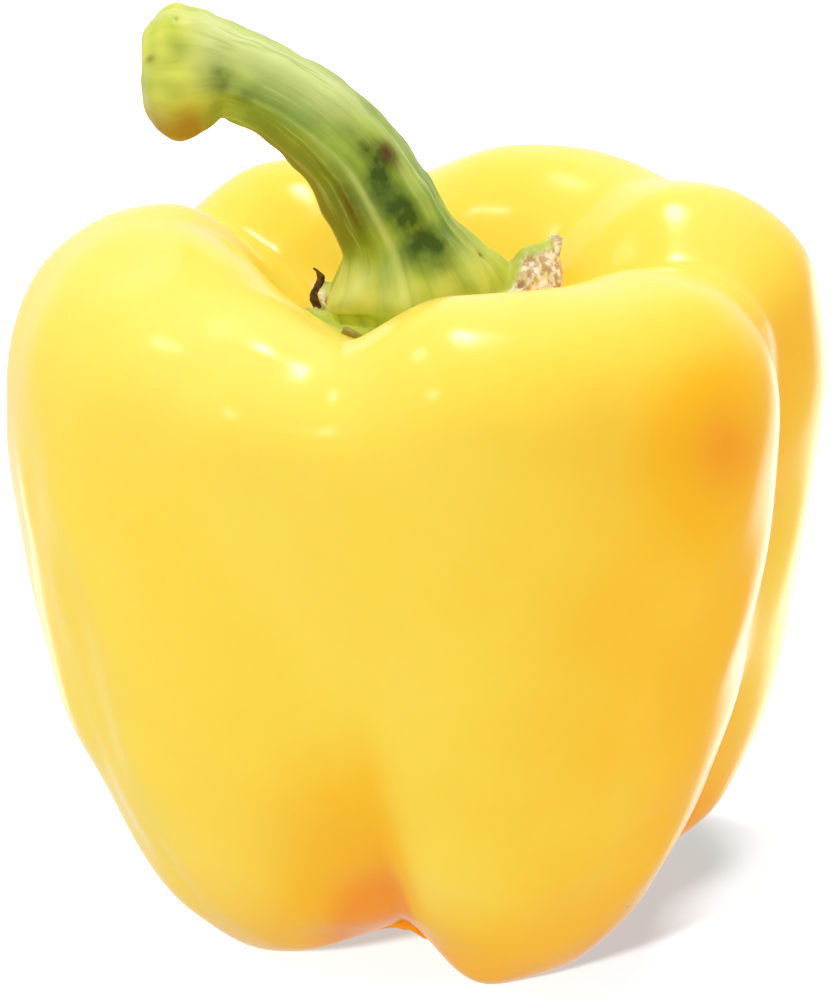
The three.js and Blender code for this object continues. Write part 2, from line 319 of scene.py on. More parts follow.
def grid_faces(rows, columns):
    faces = []
    last = (rows - 2) * columns + 1
    for column in range(columns):
        following = (column + 1) % columns
        faces.append((0, 1 + column, 1 + following))
        for row in range(rows - 3):
            upper = 1 + row * columns
            lower = upper + columns
            faces.append((upper + column, lower + column, lower + following, upper + following))
        bottom = 1 + (rows - 3) * columns
        faces.append((last, bottom + following, bottom + column))
    return faces


def piece_from_grid(name, grid, marks, material):
    """Closed smooth piece from rings of points in millimetres, with values marked on them."""
    mesh = bpy.data.meshes.new(name)
    mesh.from_pydata((without_repeats(grid) * MM).tolist(), [], grid_faces(*grid.shape[:2]))
    mesh.polygons.foreach_set("use_smooth", [True] * len(mesh.polygons))
    for mark, values in marks.items():
        attribute = mesh.attributes.new(mark, "FLOAT", "POINT")
        attribute.data.foreach_set("value", without_repeats(values).astype(np.float32))
    mesh.materials.append(material)
    piece = bpy.data.objects.new(name, mesh)
    bpy.context.scene.collection.objects.link(piece)
    return piece


def srgb(red, green, blue):
    """Colour given as screen values from 0 to 255, as the shader's linear colour."""
    def linear(value):
        share = value / 255
        return share / 12.92 if share <= 0.04045 else ((share + 0.055) / 1.055) ** 2.4
    return (linear(red), linear(green), linear(blue), 1.0)


class Nodes:
    """Short way to add and join the nodes of a material or of the world."""

    def __init__(self, owner, shader="Principled BSDF"):
        owner.use_nodes = True
        self.owner = owner
        self.tree = owner.node_tree
        self.shader = self.tree.nodes[shader]

    def add(self, kind, settings=None, **sockets):
        node = self.tree.nodes.new("ShaderNode" + kind)
        for key, value in (settings or {}).items():
            setattr(node, key, value)
        for key, value in sockets.items():
            self.set(node.inputs[key.replace("_", " ")], value)
        return node

    def set(self, socket, value):
        if isinstance(value, bpy.types.NodeSocket):
            self.tree.links.new(value, socket)
        else:
            socket.default_value = value

    def mark(self, name):
        return self.add("Attribute", {"attribute_name": name}).outputs["Fac"]

    def math(self, operation, first, second=0.0, third=0.0):
        node = self.add("Math", {"operation": operation})
        for socket, value in zip(node.inputs, (first, second, third)):
            self.set(socket, value)
        return node.outputs[0]

    def mix(self, factor, first, second):
        node = self.add("Mix", {"data_type": "RGBA"})
        for place, value in zip((0, 6, 7), (factor, first, second)):
            self.set(node.inputs[place], value)
        return node.outputs[2]

    def mix_value(self, factor, first, second):
        node = self.add("Mix", {"data_type": "FLOAT"})
        for place, value in zip((0, 2, 3), (factor, first, second)):
            self.set(node.inputs[place], value)
        return node.outputs[0]

    def ramp(self, value, start, end):
        node = self.add("MapRange", {"interpolation_type": "SMOOTHSTEP"}, Value=value)
        node.inputs["From Min"].default_value = start
        node.inputs["From Max"].default_value = end
        return node.outputs["Result"]

    def noise(self, scale, detail=2.0, vector=None):
        node = self.add("TexNoise", Scale=scale, Detail=detail)
        self.set(node.inputs["Vector"], vector or self.place())
        return node.outputs["Fac"]

    def place(self):
        return self.add("TexCoord").outputs["Object"]


PALE_LEMON = srgb(255, 232, 112)
LEMON = srgb(255, 220, 74)
GOLD = srgb(254, 187, 6)
ORANGE = srgb(248, 148, 10)
SPECK = srgb(150, 84, 12)
# Ripeness at which each colour begins and at which it is full
LEMON_RIPE = (-0.35, 0.1)
GOLD_RIPE = (0.0, 0.55)
ORANGE_RIPE = (0.5, 1.05)
# Grains count features to the metre
DRIFT_GRAIN = 55
SPECK_GRAIN = 85
PORE_GRAIN = 900
RIPE_DRIFT = 0.3
SPECK_RARITY = 0.8
SPECK_SIZE = (0.015, 0.04)
SPECK_STRENGTH = 0.55
SKIN_ROUGHNESS = 0.21
SKIN_IOR = 1.36
SKIN_SCATTER = 0.25
SKIN_SCATTER_TINT = (1.0, 0.45, 0.1)
SKIN_SCATTER_DEPTH = 0.005
PORE_STRENGTH = 0.05
PORE_DEPTH = 0.0003


def skin_material():
    nodes = Nodes(bpy.data.materials.new("pepper_skin"))
    drift = nodes.math("MULTIPLY_ADD", nodes.noise(DRIFT_GRAIN, 3.0), RIPE_DRIFT, -RIPE_DRIFT / 2)
    # The mark holds the skin's own ripening together with painted shade in the hollows, on the right
    # side and towards the foot, and painted light on the crest
    ripe_and_shade = nodes.math("ADD", nodes.mark("ripe_and_shade"), drift)
    colour = nodes.mix(nodes.ramp(ripe_and_shade, *LEMON_RIPE), PALE_LEMON, LEMON)
    colour = nodes.mix(nodes.ramp(ripe_and_shade, *GOLD_RIPE), colour, GOLD)
    colour = nodes.mix(nodes.ramp(ripe_and_shade, *ORANGE_RIPE), colour, ORANGE)
    cells = nodes.add("TexVoronoi", Scale=SPECK_GRAIN, Vector=nodes.place())
    chance = nodes.add("SeparateColor", Color=cells.outputs["Color"]).outputs[0]
    rare = nodes.math("GREATER_THAN", chance, SPECK_RARITY)
    dot = nodes.math("SUBTRACT", 1.0, nodes.ramp(cells.outputs["Distance"], *SPECK_SIZE))
    speck = nodes.math("MULTIPLY", nodes.math("MULTIPLY", dot, rare), SPECK_STRENGTH)
    colour = nodes.mix(speck, colour, SPECK)
    shader = nodes.shader
    nodes.set(shader.inputs["Base Color"], colour)
    shader.inputs["Roughness"].default_value = SKIN_ROUGHNESS
    shader.inputs["IOR"].default_value = SKIN_IOR
    shader.inputs["Subsurface Weight"].default_value = SKIN_SCATTER
    shader.inputs["Subsurface Radius"].default_value = SKIN_SCATTER_TINT
    shader.inputs["Subsurface Scale"].default_value = SKIN_SCATTER_DEPTH
    pores = nodes.noise(PORE_GRAIN)
    bump = nodes.add("Bump", Strength=PORE_STRENGTH, Distance=PORE_DEPTH, Height=pores)
    nodes.set(shader.inputs["Normal"], bump.outputs["Normal"])
    return nodes.owner


# Middle in millimetres and radius of a round orange spot on the right front shoulder: painted shade
SHADE_SPOT = np.array((30.0, -31.0, 67.0))
SPOT_RADIUS = 8
# Azimuth, station, half sizes and strength of oranger and of paler patches: painted shade on the
# back-left lobe, painted light on the front-left shoulder and on the right lobe's outer edge
LIGHT_AND_SHADE_PATCHES = (
    (10, 8.6, 22, 1.6, -0.35), (128, 4.5, 30, 2.0, 0.12), (236, 5.8, 34, 1.0, -0.12),
)
PALE_ZONE = (4.2, 2.4, 6.2)
# Orange of the flanks by azimuth, the stations over which it sets in, and its share above them:
# partly the skin's own tone, partly painted shade, strongest on the right side turned from the light
RIPE_AND_SHADED_SIDE = ((30, 0.3), (120, 0.2), (200, 0.05), (268, 0.08), (300, 0.32), (325, 0.5), (352, 0.58))
SIDE_START = (4.7, 6.6)
SIDE_ABOVE = 0.15
# Stations over which the other changes set in, and how much each changes the orange: the paler crest
# is painted light, and the creases, the fold, the spot, the seat round the stem and the foot are
# painted shade
CREASE_START = (9, 12.5)
SEAT_END = (1.2, 2.6)
FOOT_START = (9.8, 11.8)
CREST_PALE = 0.17
CREASE_FULL_DEPTH = 6
CREASE_SHADE = 0.3
FOLD_SHADE = 1.0
SPOT_SHADE = 0.42
SEAT_SHADE = 0.3
FOOT_SHADE = 0.44


def ripeness_with_shade(azimuth, station, grid):
    """How orange the skin is: 0 lemon, 1 orange as at the creases, below 0 paler as at the crest.
    Besides the skin's own ripening it holds painted shade, oranger in the creases, at the fold, on
    the right side and towards the foot, and painted light, paler on the crest.
    """
    side = SIDE_ABOVE + (1 - SIDE_ABOVE) * smoothstep(station, *SIDE_START)
    ripe_and_shade = around(RIPE_AND_SHADED_SIDE, azimuth) * side - CREST_PALE * hump(station, PALE_ZONE)
    crease = np.clip(groove_depth(azimuth, station) / CREASE_FULL_DEPTH, 0, 1)
    # Painted shade: oranger in the deep creases, at the fold, at a spot on the right shoulder, in the
    # seat round the stem and towards the foot
    ripe_and_shade = ripe_and_shade + CREASE_SHADE * crease * smoothstep(station, *CREASE_START)
    turn = groove_turn(GROOVES[0], azimuth, station)
    flank = np.where(turn < 0, FOLD_SHADE_LEFT, FOLD_SHADE_RIGHT)
    ripe_and_shade = ripe_and_shade + FOLD_SHADE * np.exp(-(turn / flank)**2) * hump(station, FOLD_ZONE)
    ripe_and_shade = ripe_and_shade + SPOT_SHADE * np.exp(-np.sum((grid - SHADE_SPOT)**2, -1) / SPOT_RADIUS**2)
    ripe_and_shade = ripe_and_shade + SEAT_SHADE * (1 - smoothstep(station, *SEAT_END))
    ripe_and_shade = ripe_and_shade + spots(azimuth, station, LIGHT_AND_SHADE_PATCHES)
    return ripe_and_shade + FOOT_SHADE * smoothstep(station, *FOOT_START)


def make_fruit():
    azimuth = np.arange(FRUIT_COLUMNS) * 360 / FRUIT_COLUMNS
    station = np.linspace(0, LAST_STATION, FRUIT_ROWS + 1)
    azimuth, station = np.meshgrid(azimuth, station)
    grid = on_axis(azimuth, *fruit_profile(azimuth, station))
    swell = SKIN_SWELL * ripple(grid, waves(*SWELL_WAVES)) * smoothstep(station, *SWELL_START)
    grid = grid + grid_normals(grid) * swell[..., None]
    turn = np.abs(groove_turn(GROOVES[0], azimuth, station))
    fold = FOLD_DEPTH * hump(station, FOLD_ZONE) * np.exp(-turn / FOLD_WIDTH)
    relief = spots(azimuth, station, SKIN_RELIEF) - fold
    grid = grid + grid_normals(grid) * relief[..., None]
    grid[..., 2] = np.maximum(grid[..., 2], 0)
    marks = {"ripe_and_shade": ripeness_with_shade(azimuth, station, grid)}
    return piece_from_grid("pepper_fruit", grid, marks, skin_material())


def tooth_share(tooth, azimuth):
    at, _, half, blunt, _, _ = tooth
    share = np.abs(degrees_between(at, azimuth)) / half
    return 1 - np.clip((share - blunt) / (1 - blunt), 0, 1)


def calyx_edge(azimuth):
    reach = np.full(azimuth.shape, float(CALYX_RADIUS))
    thickness = np.full(azimuth.shape, CALYX_THICKNESS)
    lift = np.zeros(azimuth.shape)
    for tooth in TEETH:
        share = tooth_share(tooth, azimuth)
        reach = reach + (tooth[1] - CALYX_RADIUS) * share**TOOTH_POINT
        thickness = thickness + (tooth[4] - CALYX_THICKNESS) * share
        lift = lift + tooth[5] * share
    return reach - EDGE_ROUND, thickness, lift


def underside_height(azimuth, radius):
    reach, _, lift = calyx_edge(azimuth)
    return seat_height(azimuth, radius) + SEAT_GAP + lift * (radius / reach)**LIFT_POWER


def underside_ring(azimuth, share):
    radius = calyx_edge(azimuth)[0] * share
    return on_axis(azimuth, radius, underside_height(azimuth, radius))


def spots(azimuth, span, places):
    """Sum of soft spots, each an azimuth and a span with its half sizes and strength."""
    total = 0
    for at, place, width, length, strength in places:
        turn = degrees_between(at, azimuth) / width
        total = total + strength * np.exp(-turn**2 - ((span - place) / length)**2)
    return total


def ridge_pairs():
    at = [tooth[0] for tooth in TEETH]
    pairs = [(a, 1) for a in at]
    for a, following in zip(at, at[1:] + at[:1]):
        pairs.append(((a + degrees_between(a, following) / 2) % 360, -1))
    return sorted(pairs)


RIDGES = ridge_pairs()


def stem_section(share):
    points = STEM_PATH[:, :3] + (AXIS_X, AXIS_Y, 0)
    before, after = 2 * points[0] - points[1], 2 * points[-1] - points[-2]
    middle, along = spline(points, before, after, np.array(share * (len(points) - 1)))
    back = np.array((0.0, 1.0, 0.0)) - along * along[1]
    back /= np.linalg.norm(back)
    return middle, along, back, np.cross(back, along)


def untwisted(azimuth, share):
    return azimuth - RIDGE_TURN - STEM_TWIST * share


def stem_lines(azimuth, share):
    """Fine lines along the stem, as shares of its radius."""
    turned = np.radians(untwisted(azimuth, share))
    total = 0
    for count, height in STEM_LINES:
        wander = LINE_WANDER * np.sin(LINE_BENDS * share + count)
        total = total + height * np.cos(count * turned + count**2 + wander)
    return total


def knob_lumps(azimuth, share):
    angle = np.radians(azimuth)
    lumps = sum(height * np.cos(count * angle + turn) for count, turn, height in KNOB_LUMPS)
    return lumps * smoothstep(share, KNOB_START, 1)


def stem_radius(azimuth, share):
    radii = STEM_PATH[:, 3:] * STEM_RADIUS
    place = np.array(share * (len(radii) - 1))
    radius = spline(radii, radii[0], radii[-1], place)[0][0]
    ridge = RIDGE_HEIGHT * around(RIDGES, untwisted(azimuth, share))
    crease = spots(azimuth, share, [LIP_CREASE])
    swelling = spots(azimuth, share, [BASE_SWELLING])
    lines, lumps = stem_lines(azimuth, share), knob_lumps(azimuth, share)
    return radius * (1 + ridge + swelling + lines + lumps - crease)


def stem_ring(azimuth, share, radius):
    middle, _, back, right = stem_section(share)
    angle = np.radians(azimuth)
    return middle + np.outer(radius * np.cos(angle), right) + np.outer(radius * np.sin(angle), back)


def flap(azimuth):
    return FLAP_RISE * hump(degrees_between(FLAP_AT, azimuth), FLAP_ZONE)


def stem_surface(azimuth, share):
    fade = max(1 - share / FLARE_END, 0)**2
    flare = hump(degrees_between(TEETH[0][0], azimuth), (0, -FLARE_HALF, FLARE_HALF)) * fade
    ring = stem_ring(azimuth, share, stem_radius(azimuth, share) + FLARE_REACH * flare)
    ring[:, 2] += FLARE_RISE * flare + flap(azimuth) * max(1 - share / FLAP_END, 0)**2
    return ring


def cap_ring(azimuth, turn):
    along = stem_section(1.0)[1]
    ring = stem_ring(azimuth, 1.0, stem_radius(azimuth, 1.0) * math.cos(turn))
    return ring + along * (KNOB_DEPTH * math.sin(turn) - CAP_DENT * math.sin(turn)**DENT_POWER)


def plate_ring(azimuth, share):
    reach, thickness, lift = calyx_edge(azimuth)
    edge = on_axis(azimuth, reach, seat_height(azimuth, reach) + SEAT_GAP + thickness)
    ring = stem_surface(azimuth, 0.0) * (1 - share) + edge * share
    radius = np.hypot(ring[:, 0] - AXIS_X, ring[:, 1] - AXIS_Y)
    ring[:, 2] += lift * (radius / reach)**LIFT_POWER + flap(azimuth) * share
    tip = FLAP_TIP * hump(degrees_between(FLAP_AT, azimuth), TIP_ZONE)
    ring[:, 2] += tip * smoothstep(share, TIP_START, 1)
    return ring


def edge_ring(azimuth, turn):
    """Rounded edge of the calyx, from its top round to its underside."""
    top, low = plate_ring(azimuth, 1.0), underside_ring(azimuth, 1.0)
    outward = on_axis(azimuth, EDGE_ROUND * math.sin(turn), 0) - (AXIS_X, AXIS_Y, 0)
    return (top + low) / 2 + (top - low) / 2 * math.cos(turn) + outward


LEAF = srgb(160, 182, 56)
DEEP_LEAF = srgb(120, 150, 42)
PALE_LEAF = srgb(214, 216, 86)
FIBRE = srgb(204, 214, 124)
FURROW = srgb(112, 138, 34)
CORK = srgb(252, 238, 206)
CORK_SHADE = srgb(204, 172, 130)
# Tints laid over the stem's green, each on the mark of that name; the light tint is a painted sheen
# along the stem's top, and the olive tint is painted shade on its underside
STEM_TINTS = (
    ("pale", PALE_LEAF), ("light", srgb(218, 224, 146)), ("ridge", srgb(214, 222, 124)),
    ("painted_underside", srgb(126, 120, 32)),
)
# The dark tint carries real dark patches and painted shade on the stem's left flank
BLEMISH_AND_SHADE_TINTS = (
    ("dark_and_flank_shade", srgb(62, 88, 4)), ("amber", srgb(166, 126, 28)), ("scar", srgb(88, 54, 12)),
    ("dry", srgb(128, 92, 44)),
)
ROUGH_TINTS = ("dark_and_flank_shade", "scar")
GRAIN_ROUND = 5                 # size of the space that the fibres are drawn in
GRAIN_ALONG = 3
FIBRE_GRAIN = 1.4
FIBRE_EDGE = (0.5, 0.72)
FURROW_EDGE = (0.5, 0.3)
FIBRE_STRENGTH = 0.46
FIBRE_LESS_ON_PALE = 0.36
FIBRE_RELIEF = 0.5
FIBRE_DEPTH = 0.00015
BLOTCH_GRAIN = 170
BLOTCH_EDGE = (0.35, 0.65)
GRIT_GRAIN = 620
GRIT_EDGE = (0.3, 0.7)
GRIT_LEAST = 0.72
GRIT_ADDED = 0.5
CRUMB_GRAIN = 1300
CRUMB_EDGE = (0.38, 0.6)
STEM_ROUGHNESS = 0.38
CORK_ADDED_ROUGHNESS = 0.4
STEM_SPECULAR = 0.3
STEM_SCATTER = 0.1
STEM_SCATTER_TINT = (0.6, 1.0, 0.2)
STEM_SCATTER_DEPTH = 0.002
# Span, azimuth, half width in degrees and strength along the dark green band
DARK_BAND = np.array([
    (0.15, 302, 18, 0.0), (0.19, 303, 24, 0.85), (0.225, 302, 24, 1.15), (0.26, 296, 17, 0.95),
    (0.285, 293, 17, 1.2), (0.315, 293, 19, 1.3), (0.345, 290, 15, 1.2), (0.375, 293, 16, 1.3),
    (0.40, 298, 19, 1.3), (0.425, 304, 17, 0.8), (0.46, 297, 13, 0.5), (0.52, 298, 10, 0.0),
])
# Azimuth, span, half sizes and strength of the other dark patches, of which the four on the left
# flank near 245 degrees are painted shade, and the brown scars
DARK_PATCHES_AND_FLANK_SHADE = (
    (277, 0.81, 20, 0.05, 0.75), (262, 0.7, 18, 0.07, 0.45), (243, 0.47, 14, 0.05, 0.4),
    (246, 0.41, 14, 0.05, 0.45), (246, 0.36, 14, 0.04, 0.45), (242, 0.31, 13, 0.04, 0.35),
    (80, 0.4, 25, 0.1, 0.6), (160, 0.3, 18, 0.1, 0.5),
)
SCARS = (
    (248, 0.37, 9, 0.035, 1.2), (318, 0.41, 11, 0.022, 1.0), (331, 0.99, 3, 0.012, 0.8),
    (299, 1.09, 4, 0.02, 0.8), (357, 0.14, 2, 0.006, 1), (120, 0.55, 6, 0.02, 0.8),
)
# The same for the amber of the knob, the pale and the light spot at the base and the torn left edge
AMBER = ((214, 0.95, 34, 0.09, 1.25), (200, 1.08, 36, 0.08, 0.95))
PALE_BASE = (222, 0.17, 26, 0.05, 0.6)
LIGHT_BASE = (220, 0.17, 26, 0.05, 0.55)
LEFT_TEAR = (166, -0.2, 16, 0.07, 1.2)
# Azimuth and half width of the stem's light line, of the painted sheen along its top and of the
# painted olive shade on its underside
LIGHT_LINE = (268, 5)
TOP_SHEEN = (335, 45)
UNDERSIDE_SHADE = (210, 38)
# Spans at which the ridges, the light line and the painted top sheen begin, are full, begin to fade
# and end
RIDGE_SPAN = (0.02, 0.2, 0.7, 0.9)
LINE_SPAN = (0.0, 0.15, 0.38, 0.5)
TOP_SPAN = (0.42, 0.55, 0.85, 1)
# Spans over which the painted underside shade sets in and fades, the knob turns pale and the pale
# foot ends
UNDERSIDE_SHADE_START = (0.2, 0.32)
UNDERSIDE_SHADE_FADE = (0.52, 0.66)
UNDERSIDE_SHADE_STRENGTH = (0.95, 0.5)    # in full, and how much of it fades towards the knob
PALE_KNOB = (0.62, 1.02)
PALE_FOOT = (0.12, 0.24)
PALE_FOOT_STRENGTH = 0.7
# Azimuths at which the torn faces of the right tooth begin, are full, begin to fade and end
FRONT_TEAR = (-14, -7, 6, 10)
END_TEAR = (-16, -8, 50, 58)
# How far out on the calyx, as a span turned positive, the tears and dry tips set in
FRONT_TEAR_START = (-0.02, 0.04)
END_TEAR_START = (0.17, 0.2)
DRY_START = (0.15, 0.2)
DRY_SHARE = (0.75, 0.98)
RIDGE_LIGHT = ((14, 0.3), (100, 0.5), (198, 0.3), (247, 0.2), (312, 0.25))
RIDGE_SHARPNESS = 4
RIDGE_STRENGTH = 0.5
LINE_STRENGTH = 0.6
LIGHT_STRENGTH = 0.9
DRY_STRENGTH = 0.7
# Middle, swing, least and most of the share that mottling leaves of a colour
PALE_MOTTLE = (0.85, 0.15, 0, 1)
DARK_MOTTLE = (1, 0.15, 0.7, 1.2)
SCAR_MOTTLE = (0.9, 0.2, 0.6, 1.2)


def stem_material():
    nodes = Nodes(bpy.data.materials.new("pepper_stem"))
    grain = nodes.add("Attribute", {"attribute_name": "grain"}).outputs["Vector"]
    blotch = nodes.ramp(nodes.noise(BLOTCH_GRAIN, 3.0), *BLOTCH_EDGE)
    fibre = nodes.noise(FIBRE_GRAIN, 4.0, grain)
    grit = nodes.ramp(nodes.noise(GRIT_GRAIN, 4.0), *GRIT_EDGE)
    grit = nodes.math("MULTIPLY_ADD", grit, GRIT_ADDED, GRIT_LEAST)
    colour = nodes.mix(blotch, DEEP_LEAF, LEAF)
    for mark, tint in STEM_TINTS:
        colour = nodes.mix(nodes.mark(mark), colour, tint)
    fibrous = nodes.math("MULTIPLY_ADD", nodes.mark("pale"), -FIBRE_LESS_ON_PALE, FIBRE_STRENGTH)
    for tint, edge in ((FIBRE, FIBRE_EDGE), (FURROW, FURROW_EDGE)):
        streak = nodes.math("MULTIPLY", nodes.ramp(fibre, *edge), fibrous)
        colour = nodes.mix(streak, colour, tint)
    for mark, tint in BLEMISH_AND_SHADE_TINTS:
        amount = nodes.mark(mark)
        if mark in ROUGH_TINTS:
            amount = nodes.math("MULTIPLY", amount, grit)
        colour = nodes.mix(amount, colour, tint)
    crumb = nodes.ramp(nodes.noise(CRUMB_GRAIN, 3.0), *CRUMB_EDGE)
    cork = nodes.mark("cork")
    colour = nodes.mix(cork, colour, nodes.mix(crumb, CORK_SHADE, CORK))
    roughness = nodes.math("MULTIPLY_ADD", cork, CORK_ADDED_ROUGHNESS, STEM_ROUGHNESS)
    shader = nodes.shader
    nodes.set(shader.inputs["Base Color"], colour)
    nodes.set(shader.inputs["Roughness"], roughness)
    shader.inputs["Specular IOR Level"].default_value = STEM_SPECULAR
    shader.inputs["Subsurface Weight"].default_value = STEM_SCATTER
    shader.inputs["Subsurface Radius"].default_value = STEM_SCATTER_TINT
    shader.inputs["Subsurface Scale"].default_value = STEM_SCATTER_DEPTH
    bump = nodes.add("Bump", Strength=FIBRE_RELIEF, Distance=FIBRE_DEPTH, Height=fibre)
    nodes.set(shader.inputs["Normal"], bump.outputs["Normal"])
    return nodes.owner


def between(place, zone):
    """1 where a zone is full, fading to 0 at both its ends."""
    start, full, fading, end = zone
    return smoothstep(place, start, full) * (1 - smoothstep(place, fading, end))


def beside(line, azimuth):
    """Soft stripe along a line of an azimuth and a half width."""
    at, half = line
    return np.exp(-(degrees_between(at, azimuth) / half)**2)


def mottled(mottle, limits):
    middle, swing, least, most = limits
    return np.clip(middle + swing * mottle, least, most)


def stem_marks(azimuth, span, grid):
    """Where each colour lies: span is 0 at the stem's foot, 1 at its end and below 0 on the calyx."""
    turned = untwisted(azimuth, np.clip(span, 0, 1))
    mottle = ripple(grid, waves(*MOTTLE_WAVES))
    ridge = np.clip(around(RIDGES, turned), 0, 1)**RIDGE_SHARPNESS * around(RIDGE_LIGHT, turned)
    ridge = ridge * between(span, RIDGE_SPAN)
    line = beside(LIGHT_LINE, azimuth) * between(span, LINE_SPAN)
    foot = PALE_FOOT_STRENGTH * (1 - smoothstep(span, *PALE_FOOT))
    pale = np.maximum(smoothstep(span, *PALE_KNOB), foot) + spots(azimuth, span, [PALE_BASE])
    # Painted sheen along the top of the stem, and a lighter spot at its base
    light = beside(TOP_SHEEN, azimuth) * between(span, TOP_SPAN) + spots(azimuth, span, [LIGHT_BASE])
    # Painted olive shade on the underside, fading towards the knob
    full, faded = UNDERSIDE_SHADE_STRENGTH
    shade_below = beside(UNDERSIDE_SHADE, azimuth) * smoothstep(span, *UNDERSIDE_SHADE_START)
    shade_below = shade_below * (full - faded * smoothstep(span, *UNDERSIDE_SHADE_FADE))
    at, width, strength = (np.interp(span, DARK_BAND[:, 0], column) for column in DARK_BAND[:, 1:].T)
    # Dark green band and patches, with painted shade on the left flank
    dark_and_flank_shade = strength * beside((at, width), azimuth) + spots(azimuth, span, DARK_PATCHES_AND_FLANK_SHADE)
    signed = degrees_between(0, azimuth)
    front_tear = between(signed, FRONT_TEAR) * smoothstep(-span, *FRONT_TEAR_START)
    end_tear = between(signed, END_TEAR) * smoothstep(-span, *END_TEAR_START)
    left_tear = spots(azimuth, span, [LEFT_TEAR])
    tooth = np.max([tooth_share(tooth, azimuth) for tooth in DRY_TEETH], axis=0)
    dry = smoothstep(tooth, *DRY_SHARE) * smoothstep(-span, *DRY_START)
    marks = {
        "pale": pale * mottled(mottle, PALE_MOTTLE),
        "ridge": ridge * RIDGE_STRENGTH + line * LINE_STRENGTH,
        "light": light * LIGHT_STRENGTH,
        "painted_underside": shade_below,
        "dark_and_flank_shade": dark_and_flank_shade * mottled(mottle, DARK_MOTTLE),
        "amber": spots(azimuth, span, AMBER),
        "scar": spots(azimuth, span, SCARS) * mottled(mottle, SCAR_MOTTLE),
        "dry": dry * DRY_STRENGTH,
        "cork": np.maximum(np.maximum(front_tear, end_tear), left_tear),
    }
    return {name: np.clip(values, 0, 1) for name, values in marks.items()}


def make_stem():
    azimuth = np.arange(STEM_COLUMNS) * 360 / STEM_COLUMNS
    rings, spans = [], []
    for turn in np.linspace(math.pi / 2, 0, CAP_STEPS, endpoint=False):
        rings.append(cap_ring(azimuth, turn))
        spans.append(1 + CAP_SPAN * turn)
    for share in np.linspace(1, 0, STEM_STEPS + 1):
        rings.append(stem_surface(azimuth, share))
        spans.append(share)
    for share in np.linspace(0, 1, PLATE_STEPS + 1)[1:]:
        rings.append(plate_ring(azimuth, share))
        spans.append(EDGE_SPAN * share)
    for turn in np.linspace(0, math.pi, ROUND_STEPS + 1)[1:-1]:
        rings.append(edge_ring(azimuth, turn))
        spans.append(EDGE_SPAN)
    for share in np.linspace(1, 0, UNDERSIDE_STEPS + 1):
        rings.append(underside_ring(azimuth, share))
        spans.append(UNDERSIDE_SPAN)
    grid = np.array(rings)
    azimuth, span = np.meshgrid(azimuth, spans)
    marks = stem_marks(azimuth, span, grid)
    uneven = ROUGHNESS * ripple(grid, waves(*ROUGH_WAVES))
    uneven = uneven + TEAR * marks["cork"] * ripple(grid, waves(*TEAR_WAVES))
    uneven = uneven * (span > UNDERSIDE_SPAN)
    grid = grid + grid_normals(grid) * uneven[..., None]
    piece = piece_from_grid("pepper_stem", grid, marks, stem_material())
    angle = np.radians(azimuth)
    grain = (GRAIN_ROUND * np.cos(angle), GRAIN_ROUND * np.sin(angle), GRAIN_ALONG * span)
    grain = np.stack(grain, -1)
    attribute = piece.data.attributes.new("grain", "FLOAT_VECTOR", "POINT")
    attribute.data.foreach_set("vector", without_repeats(grain).astype(np.float32).ravel())
    return piece


# Points, half width and half thickness of the withered curl at the calyx's left edge
CURL_PATH = np.array([
    (-10.6, 0.6, 70.6, 0.55, 0.4), (-11.2, 0.7, 71.8, 0.46, 0.32), (-10.9, 0.8, 72.8, 0.36, 0.25),
    (-10.4, 0.9, 73.7, 0.42, 0.22), (-10.6, 0.9, 74.5, 0.34, 0.18), (-11.2, 0.9, 75.2, 0.1, 0.08),
])
CURL_COLUMNS = 20
CURL_STEPS = 60
CURL_BLUNTNESS = 8
CURL_ROUGHNESS = 0.05           # height of its unevenness
WITHERED = srgb(58, 32, 12)
WITHERED_FLECK = srgb(120, 78, 34)
FLECK_GRAIN = 1500
FLECK_EDGE = (0.4, 0.65)
WITHERED_ROUGHNESS = 0.6


def curl_material():
    nodes = Nodes(bpy.data.materials.new("pepper_withered"))
    fleck = nodes.ramp(nodes.noise(FLECK_GRAIN, 3.0), *FLECK_EDGE)
    nodes.set(nodes.shader.inputs["Base Color"], nodes.mix(fleck, WITHERED, WITHERED_FLECK))
    nodes.shader.inputs["Roughness"].default_value = WITHERED_ROUGHNESS
    return nodes.owner


def make_curl():
    """Thin dried tip that curls up from the calyx."""
    angle = np.radians(np.arange(CURL_COLUMNS) * 360 / CURL_COLUMNS)
    rings = []
    for place in np.linspace(0, len(CURL_PATH) - 1, CURL_STEPS + 1):
        section, along = spline(CURL_PATH, CURL_PATH[0], CURL_PATH[-1], np.array(place))
        along = along[:3] / np.linalg.norm(along[:3])
        side = np.cross(along, (0.0, 1.0, 0.0))
        side /= np.linalg.norm(side)
        deep = np.cross(side, along)
        from_middle = 2 * place / (len(CURL_PATH) - 1) - 1
        round_ends = math.sqrt(max(1 - from_middle**CURL_BLUNTNESS, 0))
        ring = np.outer(np.cos(angle), side) * section[3] + np.outer(np.sin(angle), deep) * section[4]
        rings.append(section[:3] + (AXIS_X, AXIS_Y, 0) + ring * round_ends)
    grid = np.array(rings[::-1])
    uneven = CURL_ROUGHNESS * ripple(grid, waves(*CURL_WAVES))
    grid = grid + grid_normals(grid) * uneven[..., None]
    return piece_from_grid("pepper_withered_tip", grid, {}, curl_material())


# Camera, floor and light
CAMERA_DISTANCE = 550
CAMERA_ELEVATION = 20
CAMERA_TARGET = (AXIS_X, AXIS_Y, 48.7)
CAMERA_LENS = 180
FLOOR_HALF = 3000
FLOOR_TONE = 0.15
FLOOR_GLOW = 0.45
FLOOR_ROUGHNESS = 0.8
FLOOR_SPECULAR = 0.1
